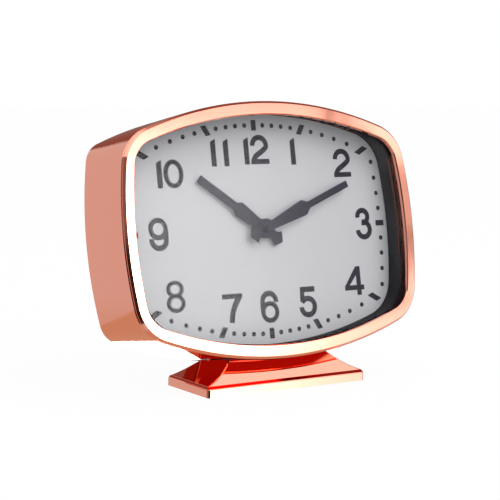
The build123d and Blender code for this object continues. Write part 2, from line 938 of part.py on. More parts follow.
with BuildPart() as third_wheel:
    add(
        stack(
            third_place,
            [
                gear_stage(third_teeth, third_module, layer_third, third_turn),
                disc_stage(third_hub_radius, layer_third + gear_width, layer_minute),
                gear_stage(third_pinion, minute_module, layer_minute),
            ],
            wheel_bore,
        )
    )
third_wheel.part.label = "third_wheel"
export_step(third_wheel.part, "parts/third_wheel.step")

minute_turn = meshing_turn(minute_teeth, third_pinion, third_direction + 180)

with BuildPart() as minute_wheel:
    add(
        stack(
            (0, 0),
            [
                gear_stage(minute_teeth, minute_module, layer_minute, minute_turn),
                disc_stage(clutch_radius, minute_front, layer_motion - clearance),
            ],
            minute_tube_radius + fit,
        )
    )
minute_wheel.part.label = "minute_wheel"
export_step(minute_wheel.part, "parts/minute_wheel.step")

# Motion work, from the minute arbor to the hour wheel, and the setting knob
flange_front = layer_minute - clearance

with BuildPart() as minute_arbor:
    add(
        stack(
            (0, 0),
            [
                disc_stage(clutch_radius, flange_front - clutch_flange, flange_front),
                disc_stage(minute_tube_radius, flange_front, minute_hand_front + cap_bore_depth - slip),
                gear_stage(cannon_teeth, motion_module, layer_motion),
                disc_stage(collar_radius, collet_back - collar_height, collet_back),
            ],
        )
    )
    with BuildSketch(hand_plane.offset(flange_front - clutch_flange)):
        Circle(arbor_radius + 2 * clearance)
    extrude(amount=seconds_arbor_front + slip - flange_front + clutch_flange, mode=Mode.SUBTRACT)
minute_arbor.part.label = "minute_arbor"
export_step(minute_arbor.part, "parts/minute_arbor.step")

motion_turn = meshing_turn(motion_teeth, cannon_teeth, motion_direction)

with BuildPart() as motion_wheel:
    add(
        stack(
            motion_place,
            [
                gear_stage(motion_teeth, motion_module, layer_motion, motion_turn),
                disc_stage(motion_hub_radius, layer_motion + gear_width, layer_hour),
                gear_stage(motion_pinion, motion_module, layer_hour),
            ],
            motion_post_radius + clearance,
        )
    )
motion_wheel.part.label = "motion_wheel"
export_step(motion_wheel.part, "parts/motion_wheel.step")

hour_turn = meshing_turn(hour_teeth, motion_pinion, motion_direction + 180)

with BuildPart() as hour_wheel:
    add(
        stack(
            (0, 0),
            [
                gear_stage(hour_teeth, motion_module, layer_hour, hour_turn),
                disc_stage(hour_tube_radius, layer_hour, hour_hand_back),
                disc_stage(hour_seat_radius, hour_hand_back, hour_hand_back + hand_thickness),
            ],
            minute_tube_radius + 2 * clearance,
        )
    )
hour_wheel.part.label = "hour_wheel"
export_step(hour_wheel.part, "parts/hour_wheel.step")

setting_turn = meshing_turn(setting_teeth, motion_teeth, setting_direction, motion_turn)
socket_mouth = inner_front - socket_height


def knob_outline():
    """Knob with finger flutes round its rim."""
    with BuildSketch() as outline:
        Circle(knob_radius)
        with PolarLocations(knob_radius, knob_flutes):
            Circle(flute_radius, mode=Mode.SUBTRACT)
    return outline.sketch


with BuildPart() as set_knob:
    add(
        stack(
            setting_place,
            [
                (knob_outline(), 0.0, knob_back, knob_front),
                disc_stage(shaft_radius, knob_front, socket_mouth - clearance),
                gear_stage(setting_teeth, motion_module, layer_motion, setting_turn),
                disc_stage(pivot_radius, socket_mouth - clearance, inner_front - slip),
            ],
        )
    )
set_knob.part.label = "set_knob"
export_step(set_knob.part, "parts/set_knob.step")
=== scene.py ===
"""Table clock: the CAD frame gets its dial print, its finishes and a studio."""
import json
from math import ceil, cos, pi, radians, sin, sqrt

import bmesh
import bpy
from bpy.props import FloatProperty, FloatVectorProperty, PointerProperty
from mathutils import Matrix, Vector

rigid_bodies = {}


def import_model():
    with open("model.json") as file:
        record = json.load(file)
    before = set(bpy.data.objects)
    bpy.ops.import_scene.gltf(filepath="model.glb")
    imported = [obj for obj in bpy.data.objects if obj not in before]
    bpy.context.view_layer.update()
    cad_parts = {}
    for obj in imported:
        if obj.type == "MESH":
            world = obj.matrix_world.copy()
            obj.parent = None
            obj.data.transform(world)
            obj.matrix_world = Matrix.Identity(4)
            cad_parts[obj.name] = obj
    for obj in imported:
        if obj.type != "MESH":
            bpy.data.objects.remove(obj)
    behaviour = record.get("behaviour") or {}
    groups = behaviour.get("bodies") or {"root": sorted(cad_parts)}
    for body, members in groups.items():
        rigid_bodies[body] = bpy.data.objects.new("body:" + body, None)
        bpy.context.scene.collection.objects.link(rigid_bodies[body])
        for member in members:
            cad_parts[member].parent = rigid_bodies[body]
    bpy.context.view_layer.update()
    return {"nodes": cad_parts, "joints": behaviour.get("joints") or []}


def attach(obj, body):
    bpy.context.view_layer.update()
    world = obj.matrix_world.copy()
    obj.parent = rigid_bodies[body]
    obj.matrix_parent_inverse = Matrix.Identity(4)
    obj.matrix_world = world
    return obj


bl_info = {
    "name": "Table clock",
    "version": (1, 0, 0),
    "blender": (4, 5, 0),
    "location": "3D View > Sidebar > Clock",
    "description": "Prints the dial, gives every piece its finish and lights the clock in a white studio",
    "category": "Object",
}

# An empty file, then the imported clock
for leftover in list(bpy.data.objects):
    bpy.data.objects.remove(leftover)
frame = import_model()
nodes = frame["nodes"]

MM = 0.001

# The dial's own axes: its origin is on the dial's front face, on the axis of the hands
minute_joint = next(joint for joint in frame["joints"] if joint["name"] == "minute_hand_turn")
dial_normal = -Vector(minute_joint["axis"]).normalized()
dial_right = Vector((1, 0, 0))
dial_up = dial_normal.cross(dial_right)
dial_place = Matrix((dial_right, dial_up, dial_normal)).transposed().to_4x4()
dial_place.translation = Vector(minute_joint["pos_m"])


def linear(colour):
    """Linear RGBA of an sRGB hex colour."""
    channels = [int(colour[i:i + 2], 16) / 255 for i in (1, 3, 5)]
    return [c / 12.92 if c <= 0.04045 else ((c + 0.055) / 1.055) ** 2.4 for c in channels] + [1.0]


# Sockets that share their names with others on their node, by number: the colours of Mix and the vectors of
# Map Range
MIX_SHARE = 0
MIX_FIRST = 6
MIX_SECOND = 7
MIX_RESULT = 2
RANGE_FROM_MIN = 7
RANGE_FROM_MAX = 8
RANGE_TO_MIN = 9
RANGE_TO_MAX = 10

# Copper plating, in millimetres: the slow waves of the sheet, and the clouds of haze that polishing left
WAVE_SIZE = 30.0
WAVE_DEPTH = 0.08
HAZE_SIZE = 6.0
COPPER_ROUGHNESS = (0.02, 0.07)

# The bezel's half sizes and the polishing lines round it, in millimetres. Real lines are finer: these are as
# coarse as they need to show
BEZEL_HALF = (92.8, 68.3)
LINE_WIDTH = 0.928
LINE_LENGTH = 13.425
LINE_DEPTH = 0.005

# Painted shade on the foot, where its creases would fall in shadow, each between two corners in millimetres
# and with its colour: the corner between the plinth and the flanks, and the crevice under the case
FOOT_PAINTED_SHADE = [
    ((-60.0, -60.0, 4.95), (60.0, 60.0, 6.0), "#A02414"),
    ((-31.7, -10.2, 14.0), (31.7, 10.2, 20.0), "#4A0604"),
]
# Width in millimetres over which the painted shade fades out
PAINTED_SHADE_EDGE = 0.1

# Front glass, with its wiping marks in millimetres. Its index is below that of plain glass, because the veil
# that it lays over the dial is faint
WIPE_SIZE = 40.0
GLASS_ROUGHNESS = (0.0, 0.012)
GLASS_IOR = 1.22

# Minute track, in millimetres from the axis of the hands: half its width and height, and the radii of its
# curved sides and of its curved top and bottom
TRACK_HALF = (80.0, 56.06)
TRACK_RADIUS = (273.0, 180.0)
MINUTES = 60
MINUTES_PER_HOUR_MARK = 5
DOT_CORNERS = 24

# Degrees between two points of a round stroke
ARC_STEP = 9.0

# Height in millimetres at which the ink starts, just under the dial's face, and the step from one strip of a
# digit to the next, so that the fronts of no two lie in one plane
PRINT_BACK = -0.02
PRINT_LAYER = 0.004

# Each printed digit and its middle, in millimetres from the axis of the hands
DIGIT_PLACES = [
    ("1", -6.0, 42.3),
    ("2", 2.5, 42.9),
    ("1", 24.5, 41.6),
    ("2", 57.2, 34.5),
    ("3", 68.4, 0.0),
    ("4", 58.2, -31.5),
    ("5", 25.2, -41.1),
    ("6", 0.0, -42.0),
    ("7", -23.5, -41.1),
    ("8", -58.2, -32.7),
    ("9", -65.1, 0.0),
    ("1", -61.4, 31.1),
    ("0", -52.9, 31.0),
    ("1", -27.1, 41.7),
    ("1", -19.1, 41.7),
]


class ClockPrint(bpy.types.PropertyGroup):
    """Sizes of the print on the dial."""

    stroke: FloatProperty(
        name="Stroke", description="Width of the digits' strokes", default=2.95 * MM, unit="LENGTH"
    )
    dot: FloatProperty(
        name="Dot", description="Diameter of a minute dot", default=2.6 * MM, unit="LENGTH"
    )
    bar_width: FloatProperty(
        name="Bar width", description="Width of an hour bar", default=3.1 * MM, unit="LENGTH"
    )
    bar_length: FloatProperty(
        name="Bar length", description="Length of an hour bar", default=5.7 * MM, unit="LENGTH"
    )
    thickness: FloatProperty(
        name="Ink", description="How far the ink stands above the dial", default=0.03 * MM, unit="LENGTH"
    )


class ClockFinish(bpy.types.PropertyGroup):
    """Colours of the pieces that show."""

    copper: FloatVectorProperty(
        name="Copper", description="Copper plating", default=linear("#F9A790"), size=4, subtype="COLOR"
    )
    dial: FloatVectorProperty(
        name="Dial", description="Lacquered dial sheet", default=linear("#CBCBCF"), size=4, subtype="COLOR"
    )
    ink: FloatVectorProperty(
        name="Ink", description="Screen print on the dial", default=linear("#221F2C"), size=4, subtype="COLOR"
    )
    hands: FloatVectorProperty(
        name="Hands", description="Paint on the hands", default=linear("#302D3C"), size=4, subtype="COLOR"
    )
    surround: FloatVectorProperty(
        name="Surround",
        description="Ring between the glass and the dial",
        default=linear("#0A0814"),
        size=4,
        subtype="COLOR",
    )


class ClockStudio(bpy.types.PropertyGroup):
    """Camera and light."""

    azimuth: FloatProperty(
        name="Azimuth", description="Camera's turn round the clock", default=radians(-34.308), subtype="ANGLE"
    )
    elevation: FloatProperty(
        name="Elevation", description="Camera's height angle", default=radians(6.776), subtype="ANGLE"
    )
    roll: FloatProperty(
        name="Roll", description="Camera's turn about its own axis", default=radians(1.08), subtype="ANGLE"
    )
    distance: FloatProperty(
        name="Distance", description="From the camera to its aim", default=868.26 * MM, unit="LENGTH"
    )
    aim: FloatVectorProperty(
        name="Aim",
        description="Point in the middle of the picture",
        default=(-7.77 * MM, 7.25 * MM, 71.84 * MM),
        subtype="TRANSLATION",
    )
    lens: FloatProperty(
        name="Lens", description="Focal length on a 36 mm sensor", default=116.89, unit="CAMERA"
    )
    fill: FloatProperty(
        name="Fill", description="Level of the soft light all round", default=0.67, min=0.0, subtype="FACTOR"
    )
    key: FloatProperty(
        name="Key", description="Power of the lamp at the upper right", default=2.35, unit="POWER"
    )


class ClockSettings(bpy.types.PropertyGroup):
    """What a user would change on the clock."""

    ink_print: PointerProperty(name="Print", description="Sizes of the print", type=ClockPrint)
    finish: PointerProperty(name="Finish", description="Colours of the pieces", type=ClockFinish)
    studio: PointerProperty(name="Studio", description="Camera and light", type=ClockStudio)


def add_node(tree, kind, links=(), **settings):
    """Adds a node with its settings; links gives a socket, by name or number, its value or its source."""
    node = tree.nodes.new(kind)
    for name, value in settings.items():
        setattr(node, name, value)
    for socket, value in dict(links).items():
        if isinstance(value, bpy.types.NodeSocket):
            tree.links.new(value, node.inputs[socket])
        else:
            node.inputs[socket].default_value = value
    return node


def new_material(name):
    """Empty node material."""
    material = bpy.data.materials.new(name)
    material.use_nodes = True
    material.node_tree.nodes.clear()
    return material, material.node_tree


def per_metre(size):
    """Noise scale of a pattern whose cells are this many millimetres across."""
    return 1 / (size * MM)


def grained(name, colour, *, grain, rough, tone, relief, metallic=0.0, specular=0.5, stretch=(1, 1, 1)):
    """Surface with a fine grain: grain and relief in millimetres, rough as (least, most), tone as a share."""
    # Where the real grain is too fine to show, it is given as coarse as it needs to be
    material, tree = new_material(name)
    place = add_node(tree, "ShaderNodeTexCoord")
    spread = add_node(tree, "ShaderNodeMapping", {"Vector": place.outputs["Object"], "Scale": stretch})
    noise = add_node(
        tree,
        "ShaderNodeTexNoise",
        {"Vector": spread.outputs["Vector"], "Scale": per_metre(grain), "Detail": 3.0},
    )
    dark = [c * (1 - tone) for c in colour[:3]] + [1.0]
    light = [min(1.0, c * (1 + tone)) for c in colour[:3]] + [1.0]
    shade = add_node(
        tree,
        "ShaderNodeMix",
        {MIX_SHARE: noise.outputs["Fac"], MIX_FIRST: dark, MIX_SECOND: light},
        data_type="RGBA",
    )
    gloss = add_node(
        tree, "ShaderNodeMapRange", {"Value": noise.outputs["Fac"], "To Min": rough[0], "To Max": rough[1]}
    )
    bump = add_node(
        tree,
        "ShaderNodeBump",
        {"Height": noise.outputs["Fac"], "Distance": relief * MM, "Strength": 0.5},
    )
    shader = add_node(
        tree,
        "ShaderNodeBsdfPrincipled",
        {
            "Base Color": shade.outputs[MIX_RESULT],
            "Metallic": metallic,
            "Roughness": gloss.outputs["Result"],
            "Specular IOR Level": specular,
            "Normal": bump.outputs["Normal"],
        },
    )
    add_node(tree, "ShaderNodeOutputMaterial", {"Surface": shader.outputs["BSDF"]})
    return material


def box_share(tree, place, low, high, edge):
    """Socket that is 1 inside a box between two corners and fades to 0 across edges of these widths."""
    low, high, soft = Vector(low), Vector(high), Vector(edge) / 2
    half = (high - low) / 2
    offset = add_node(tree, "ShaderNodeVectorMath", {0: place, 1: (low + high) / 2}, operation="SUBTRACT")
    reach = add_node(tree, "ShaderNodeVectorMath", {0: offset.outputs["Vector"]}, operation="ABSOLUTE")
    inside = add_node(
        tree,
        "ShaderNodeMapRange",
        {
            "Vector": reach.outputs["Vector"],
            RANGE_FROM_MIN: half - soft,
            RANGE_FROM_MAX: half + soft,
            RANGE_TO_MIN: (1, 1, 1),
            RANGE_TO_MAX: (0, 0, 0),
        },
        data_type="FLOAT_VECTOR",
        interpolation_type="SMOOTHSTEP",
    )
    sides = add_node(tree, "ShaderNodeSeparateXYZ", {"Vector": inside.outputs["Vector"]})
    flat = add_node(
        tree, "ShaderNodeMath", {0: sides.outputs["X"], 1: sides.outputs["Y"]}, operation="MULTIPLY"
    )
    share = add_node(
        tree, "ShaderNodeMath", {0: flat.outputs[0], 1: sides.outputs["Z"]}, operation="MULTIPLY"
    )
    return share.outputs[0]


def polished_copper(name, colour, painted_shade=(), lines=False):
    """Bright copper plating on pressed steel, with painted shade where given and, on the bezel, its polishing
    lines.
    """
    # A mirror with the slow waviness of thin pressed sheet and a faint haze left by the polishing mop
    material, tree = new_material(name)
    place = add_node(tree, "ShaderNodeTexCoord")
    waves = add_node(
        tree,
        "ShaderNodeTexNoise",
        {"Vector": place.outputs["Object"], "Scale": per_metre(WAVE_SIZE), "Detail": 1.0},
    )
    haze = add_node(
        tree,
        "ShaderNodeTexNoise",
        {"Vector": place.outputs["Object"], "Scale": per_metre(HAZE_SIZE), "Detail": 4.0},
    )
    gloss = add_node(
        tree,
        "ShaderNodeMapRange",
        {"Value": haze.outputs["Fac"], "To Min": COPPER_ROUGHNESS[0], "To Max": COPPER_ROUGHNESS[1]},
    )
    bump = add_node(
        tree,
        "ShaderNodeBump",
        {"Height": waves.outputs["Fac"], "Distance": WAVE_DEPTH * MM, "Strength": 1.0},
    )
    # Painted shade: in the given places, where shadow would fall, the copper is darkened to a deep red
    for low, high, shade_colour in painted_shade:
        share = box_share(
            tree, place.outputs["Object"], Vector(low) * MM, Vector(high) * MM, [PAINTED_SHADE_EDGE * MM] * 3
        )
        tint = add_node(
            tree,
            "ShaderNodeMix",
            {MIX_SHARE: share, MIX_FIRST: colour, MIX_SECOND: linear(shade_colour)},
            data_type="RGBA",
        )
        colour = tint.outputs[MIX_RESULT]
    if lines:
        # The mop ran round the ring: faint lines, much longer than they are wide. Near the ring's edge the
        # sum of fourth powers grows by 1 over a quarter of the half width, and the angle grows by 1 over the
        # mean half size
        half_size = (BEZEL_HALF[0] * MM, BEZEL_HALF[1] * MM, 1.0)
        line_counts = (
            BEZEL_HALF[0] / 4 / LINE_WIDTH,
            (BEZEL_HALF[0] + BEZEL_HALF[1]) / 2 / LINE_LENGTH,
            1.0,
        )
        own = add_node(
            tree,
            "ShaderNodeMapping",
            {
                "Vector": place.outputs["Object"],
                "Location": dial_place.translation,
                "Rotation": dial_place.to_euler(),
            },
            vector_type="TEXTURE",
        )
        share = add_node(
            tree, "ShaderNodeVectorMath", {0: own.outputs["Vector"], 1: half_size}, operation="DIVIDE"
        )
        square = add_node(
            tree,
            "ShaderNodeVectorMath",
            {0: share.outputs["Vector"], 1: share.outputs["Vector"]},
            operation="MULTIPLY",
        )
        across = add_node(
            tree,
            "ShaderNodeVectorMath",
            {0: square.outputs["Vector"], 1: square.outputs["Vector"]},
            operation="DOT_PRODUCT",
        )
        sides = add_node(tree, "ShaderNodeSeparateXYZ", {"Vector": share.outputs["Vector"]})
        along = add_node(
            tree, "ShaderNodeMath", {0: sides.outputs["Y"], 1: sides.outputs["X"]}, operation="ARCTAN2"
        )
        track = add_node(
            tree, "ShaderNodeCombineXYZ", {"X": across.outputs["Value"], "Y": along.outputs[0]}
        )
        spread = add_node(
            tree, "ShaderNodeMapping", {"Vector": track.outputs["Vector"], "Scale": line_counts}
        )
        streaks = add_node(
            tree, "ShaderNodeTexNoise", {"Vector": spread.outputs["Vector"], "Scale": 1.0, "Detail": 2.0}
        )
        bump = add_node(
            tree,
            "ShaderNodeBump",
            {
                "Height": streaks.outputs["Fac"],
                "Distance": LINE_DEPTH * MM,
                "Strength": 1.0,
                "Normal": bump.outputs["Normal"],
            },
        )
    shader = add_node(
        tree,
        "ShaderNodeBsdfPrincipled",
        {
            "Base Color": colour,
            "Metallic": 1.0,
            "Roughness": gloss.outputs["Result"],
            "Normal": bump.outputs["Normal"],
        },
    )
    add_node(tree, "ShaderNodeOutputMaterial", {"Surface": shader.outputs["BSDF"]})
    return material


def front_glass():
    """Flat clear glass."""
    # Clear sheet whose two faces lay a thin veil of the bright studio over the dial, with faint wiping marks
    material, tree = new_material("clear_sheet_glass")
    place = add_node(tree, "ShaderNodeTexCoord")
    wipes = add_node(
        tree,
        "ShaderNodeTexNoise",
        {"Vector": place.outputs["Object"], "Scale": per_metre(WIPE_SIZE), "Detail": 2.0},
    )
    gloss = add_node(
        tree,
        "ShaderNodeMapRange",
        {"Value": wipes.outputs["Fac"], "To Min": GLASS_ROUGHNESS[0], "To Max": GLASS_ROUGHNESS[1]},
    )
    shader = add_node(
        tree,
        "ShaderNodeBsdfPrincipled",
        {
            "Base Color": linear("#FFFFFF"),
            "Roughness": gloss.outputs["Result"],
            "IOR": GLASS_IOR,
            "Transmission Weight": 1.0,
        },
    )
    add_node(tree, "ShaderNodeOutputMaterial", {"Surface": shader.outputs["BSDF"]})
    return material


def dress(material, *names):
    """Gives CAD nodes one material."""
    for name in names:
        mesh = nodes[name].data
        mesh.materials.clear()
        mesh.materials.append(material)


def add_piece(name, mesh, material):
    """Places a mesh drawn in the dial's axes on the clock."""
    mesh.transform(dial_place)
    mesh.materials.clear()
    mesh.materials.append(material)
    piece = bpy.data.objects.new(name, mesh)
    bpy.context.scene.collection.objects.link(piece)
    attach(piece, "clock")


def arc(centre, radius, start, end):
    """Points along an arc, in degrees counter-clockwise from the three o'clock side."""
    steps = ceil(abs(end - start) / ARC_STEP)
    turns = [radians(start + (end - start) * i / steps) for i in range(steps + 1)]
    return [Vector((centre[0] + radius * cos(t), centre[1] + radius * sin(t))) for t in turns]


def arc_through(first, middle, last):
    """Points along the arc through three points."""
    a, b, c = Vector(first), Vector(middle), Vector(last)
    u, v = b - a, c - a
    cross = 2 * (u.x * v.y - u.y * v.x)
    centre = a + Vector((v.y * u.dot(u) - u.y * v.dot(v), u.x * v.dot(v) - v.x * u.dot(u))) / cross
    start = (a - centre).angle_signed(Vector((1, 0)))
    turn = (c - centre).angle_signed(a - centre)
    return arc(centre, (a - centre).length, start * 180 / pi, (start + turn) * 180 / pi)


def pen(line, width):
    """The two sides of a stroke of even width along a line."""
    line = [Vector(point) for point in line]
    left, right = [], []
    for i, point in enumerate(line):
        run = line[min(i + 1, len(line) - 1)] - line[max(i - 1, 0)]
        side = Vector((-run.y, run.x)).normalized() * width / 2
        left.append(point + side)
        right.append(point - side)
    return left, right, False


def ring(centre, outer, inner):
    """The two sides of an oval ring, each given as (half width, half height)."""
    turns = [radians(ARC_STEP * i) for i in range(int(360 / ARC_STEP))]
    sides = [
        [Vector((centre[0] + half[0] * cos(t), centre[1] + half[1] * sin(t))) for t in turns]
        for half in (inner, outer)
    ]
    return sides[0], sides[1], True


def six(width):
    """Six: a round bowl and a stem that hooks over it."""
    bowl = ring((0, -2.75), (5.87, 5.87), (3.2, 3.2))
    hook = [(-4.5, -2.75), (-4.45, 2.85)] + arc((-0.05, 2.85), 4.4, 180, -7)[1:]
    return [bowl, pen(hook, width)]


def half_turn(strips):
    """Strips turned upside down."""
    return [([-p for p in left], [-p for p in right], closed) for left, right, closed in strips]


def glyphs(width):
    """Strips of each digit about its middle, in millimetres, each as (left side, right side, closed)."""
    slant_stem = (
        [Vector((-1.6, -7.4)), Vector((-1.6, 5.7))],
        [Vector((1.6, -7.4)), Vector((1.6, 7.4))],
        False,
    )
    two = (
        arc((0.05, 2.05), 4.45, 180, 0)
        + arc_through((4.42, 1.65), (4.0, 0.92), (3.1, 0.15))
        + [Vector((1.6, -0.92)), Vector((0.0, -1.95))]
        + arc_through((-1.3, -2.7), (-3.25, -4.25), (-4.5, -7.8))
    )
    slope = (
        [Vector((1.55, 7.85)), Vector((-6.7, -3.0))],
        [Vector((2.3, 3.8)), Vector((-3.4, -2.6))],
        False,
    )
    return {
        "0": [ring((0, 0), (6.12, 7.6), (3.35, 5.05))],
        "1": [slant_stem],
        "2": [pen(two, width), pen([(-5.85, -6.55), (5.95, -6.55)], 2.75)],
        "3": [
            pen([(-1.2, 0.55), (-0.2, 0.45)] + arc((-0.2, 3.95), 3.5, -90, 188)[1:], 2.95),
            pen(arc((0.05, -3.3), 4.2, -177, 98), 3.0),
        ],
        "4": [
            pen([(3.12, -8.1), (3.12, 7.9)], 3.05),
            pen([(-6.7, -3.85), (6.7, -3.85)], 2.75),
            slope,
        ],
        "5": [
            pen([(-4.4, 6.92), (5.3, 6.92)], 3.0),
            pen([(-3.0, 8.4), (-3.5, 0.4)], 2.9),
            pen(arc((0.08, -2.52), 4.45, -180, 148), width),
        ],
        "6": six(width),
        "7": [
            pen([(-6.35, 6.32), (6.4, 6.32)], 2.7),
            pen(arc_through((4.6, 5.6), (0.2, -1.0), (-1.25, -7.67)), 3.3),
        ],
        "8": [ring((0, 3.9), (5.43, 4.45), (2.8, 2.42)), ring((0, -3.5), (5.75, 4.9), (3.22, 2.75))],
        "9": half_turn(six(width)),
    }


def track_point(turn):
    """Point of the minute track at a turn clockwise from twelve, the ray to it and the track's run there."""
    ray = Vector((sin(turn), cos(turn)))
    bulges = [
        (Vector((side * (TRACK_HALF[0] - TRACK_RADIUS[0]), 0)), TRACK_RADIUS[0]) for side in (-1, 1)
    ] + [
        (Vector((0, side * (TRACK_HALF[1] - TRACK_RADIUS[1]))), TRACK_RADIUS[1]) for side in (-1, 1)
    ]
    reaches = []
    for centre, radius in bulges:
        along = ray.dot(centre)
        reaches.append((along + sqrt(along ** 2 + radius ** 2 - centre.length_squared), centre))
    reach, centre = min(reaches, key=lambda found: found[0])
    out = (ray * reach - centre).normalized()
    return ray * reach, ray, Vector((-out.y, out.x))


def add_strip(work, strip, middle, back, front):
    """Adds one closed slab of ink between the two sides of a strip, in millimetres."""
    left, right, closed = strip
    rows = [
        [
            work.verts.new((p.x + middle[0], p.y + middle[1], height))
            for p, height in ((a, front), (b, front), (b, back), (a, back))
        ]
        for a, b in zip(left, right)
    ]
    pairs = list(zip(rows, rows[1:]))
    if closed:
        pairs.append((rows[-1], rows[0]))
    else:
        work.faces.new(rows[0])
        work.faces.new(rows[-1])
    for first, second in pairs:
        for i in range(4):
            j = (i + 1) % 4
            work.faces.new((first[i], first[j], second[j], second[i]))


def ink_mesh(name, strips, thickness):
    """Mesh of ink strips, each given as (strip, middle, layer), in metres."""
    work = bmesh.new()
    for strip, middle, layer in strips:
        add_strip(work, strip, middle, PRINT_BACK, thickness / MM + layer * PRINT_LAYER)
    bmesh.ops.recalc_face_normals(work, faces=work.faces)
    bmesh.ops.scale(work, vec=(MM, MM, MM), verts=work.verts)
    mesh = bpy.data.meshes.new(name)
    work.to_mesh(mesh)
    work.free()
    return mesh


def dot_tree():
    """Geometry Nodes tree that puts a flat round dot on every point."""
    tree = bpy.data.node_groups.new("minute_dots", "GeometryNodeTree")
    face = tree.interface
    face.new_socket("Points", in_out="INPUT", socket_type="NodeSocketGeometry")
    sockets = {
        "Radius": face.new_socket("Radius", in_out="INPUT", socket_type="NodeSocketFloat"),
        "Depth": face.new_socket("Depth", in_out="INPUT", socket_type="NodeSocketFloat"),
        "Ink": face.new_socket("Ink", in_out="INPUT", socket_type="NodeSocketMaterial"),
    }
    face.new_socket("Dots", in_out="OUTPUT", socket_type="NodeSocketGeometry")
    given = add_node(tree, "NodeGroupInput")
    dot = add_node(
        tree,
        "GeometryNodeMeshCylinder",
        {"Vertices": DOT_CORNERS, "Radius": given.outputs["Radius"], "Depth": given.outputs["Depth"]},
    )
    spread = add_node(
        tree,
        "GeometryNodeInstanceOnPoints",
        {"Points": given.outputs["Points"], "Instance": dot.outputs["Mesh"]},
    )
    solid = add_node(tree, "GeometryNodeRealizeInstances", {"Geometry": spread.outputs["Instances"]})
    inked = add_node(
        tree,
        "GeometryNodeSetMaterial",
        {"Geometry": solid.outputs["Geometry"], "Material": given.outputs["Ink"]},
    )
    add_node(tree, "NodeGroupOutput", {"Dots": inked.outputs["Geometry"]})
    return tree, sockets


def dot_mesh(sizes, ink):
    """Mesh of the minute dots, made by Geometry Nodes on the track's points."""
    points = [
        track_point(2 * pi * minute / MINUTES)[0] * MM
        for minute in range(MINUTES)
        if minute % MINUTES_PER_HOUR_MARK
    ]
    seeds = bpy.data.meshes.new("minute_points")
    seeds.from_pydata([(p.x, p.y, 0) for p in points], [], [])
    holder = bpy.data.objects.new("minute_points", seeds)
    bpy.context.scene.collection.objects.link(holder)
    tree, sockets = dot_tree()
    modifier = holder.modifiers.new("dots", "NODES")
    modifier.node_group = tree
    modifier[sockets["Radius"].identifier] = sizes.dot / 2
    modifier[sockets["Depth"].identifier] = sizes.thickness * 2
    modifier[sockets["Ink"].identifier] = ink
    graph = bpy.context.evaluated_depsgraph_get()
    mesh = bpy.data.meshes.new_from_object(holder.evaluated_get(graph), depsgraph=graph)
    bpy.data.objects.remove(holder)
    return mesh


def bar_strip(turn, sizes):
    """One hour bar: along its ray, with both ends cut along the minute track."""
    point, ray, run = track_point(turn)
    across = Vector((ray.y, -ray.x))
    shear = run * (sizes.bar_width / MM / 2 / run.dot(across))
    reach = ray * (sizes.bar_length / MM / 2 / ray.dot(Vector((run.y, -run.x))))
    left, right = point - shear, point + shear
    return [left - reach, left + reach], [right - reach, right + reach], False


class CLOCK_OT_copper(bpy.types.Operator):
    """Gives the case, the bezel and the foot their copper plating"""

    bl_idname = "clock.copper"
    bl_label = "Copper case and foot"

    def execute(self, context):
        colour = context.scene.clock.finish.copper
        dress(polished_copper("copper_plated_case", colour), "case_shell")
        dress(polished_copper("copper_plated_bezel", colour, lines=True), "bezel")
        # The foot's copper gets painted shade in the corner above the plinth and in the crevice under the
        # case
        dress(polished_copper("copper_plated_foot", colour, FOOT_PAINTED_SHADE), "foot")
        return {"FINISHED"}


class CLOCK_OT_dial(bpy.types.Operator):
    """Finishes the dial sheet and the dark ring around it"""

    bl_idname = "clock.dial"
    bl_label = "Dial and surround"

    def execute(self, context):
        finish = context.scene.clock.finish
        # Lacquered aluminium sheet: satin, almost white, with the faint cloud of a sprayed coat
        lacquer = grained(
            "lacquered_aluminium", finish.dial,
            grain=12.0, rough=(0.5, 0.6), tone=0.012, relief=0.0005, specular=0.2,
        )
        dress(lacquer, "dial_plate")
        # Moulded ABS: near black and matt
        moulding = grained(
            "black_moulded_abs", finish.surround,
            grain=0.8, rough=(0.6, 0.7), tone=0.1, relief=0.01, specular=0.0,
        )
        dress(moulding, "dial_surround")
        return {"FINISHED"}


class CLOCK_OT_print(bpy.types.Operator):
    """Prints the digits, the hour bars and the minute dots on the dial"""

    bl_idname = "clock.dial_print"
    bl_label = "Dial print"

    def execute(self, context):
        settings = context.scene.clock
        sizes = settings.ink_print
        # Screen-printed ink: matt dark grey with a slightly uneven film
        ink = grained(
            "screen_print_ink", settings.finish.ink,
            grain=0.7, rough=(0.55, 0.65), tone=0.05, relief=0.004, specular=0.2,
        )
        shapes = glyphs(sizes.stroke / MM)
        digits = [
            (strip, (x, y), layer)
            for digit, x, y in DIGIT_PLACES
            for layer, strip in enumerate(shapes[digit])
        ]
        add_piece("dial_numbers", ink_mesh("dial_numbers", digits, sizes.thickness), ink)
        bars = [
            (bar_strip(2 * pi * minute / MINUTES, sizes), (0, 0), 0)
            for minute in range(0, MINUTES, MINUTES_PER_HOUR_MARK)
        ]
        add_piece("hour_bars", ink_mesh("hour_bars", bars, sizes.thickness), ink)
        add_piece("minute_dots", dot_mesh(sizes, ink), ink)
        return {"FINISHED"}


class CLOCK_OT_hands(bpy.types.Operator):
    """Paints both hands and their cap"""

    bl_idname = "clock.hands"
    bl_label = "Hands"

    def execute(self, context):
        colour = context.scene.clock.finish.hands
        # Stamped aluminium under satin stoving paint: dark grey with a very fine orange peel
        paint = grained(
            "satin_stoved_paint", colour,
            grain=0.5, rough=(0.4, 0.5), tone=0.05, relief=0.006, specular=0.15,
        )
        dress(paint, "hour_hand", "minute_hand", "hand_cap")
        return {"FINISHED"}


class CLOCK_OT_glass(bpy.types.Operator):
    """Clears the front glass"""

    bl_idname = "clock.front_glass"
    bl_label = "Front glass"

    def execute(self, context):
        dress(front_glass(), "lens")
        # Clear glass throws no shadow on the dial
        nodes["lens"].visible_shadow = False
        return {"FINISHED"}


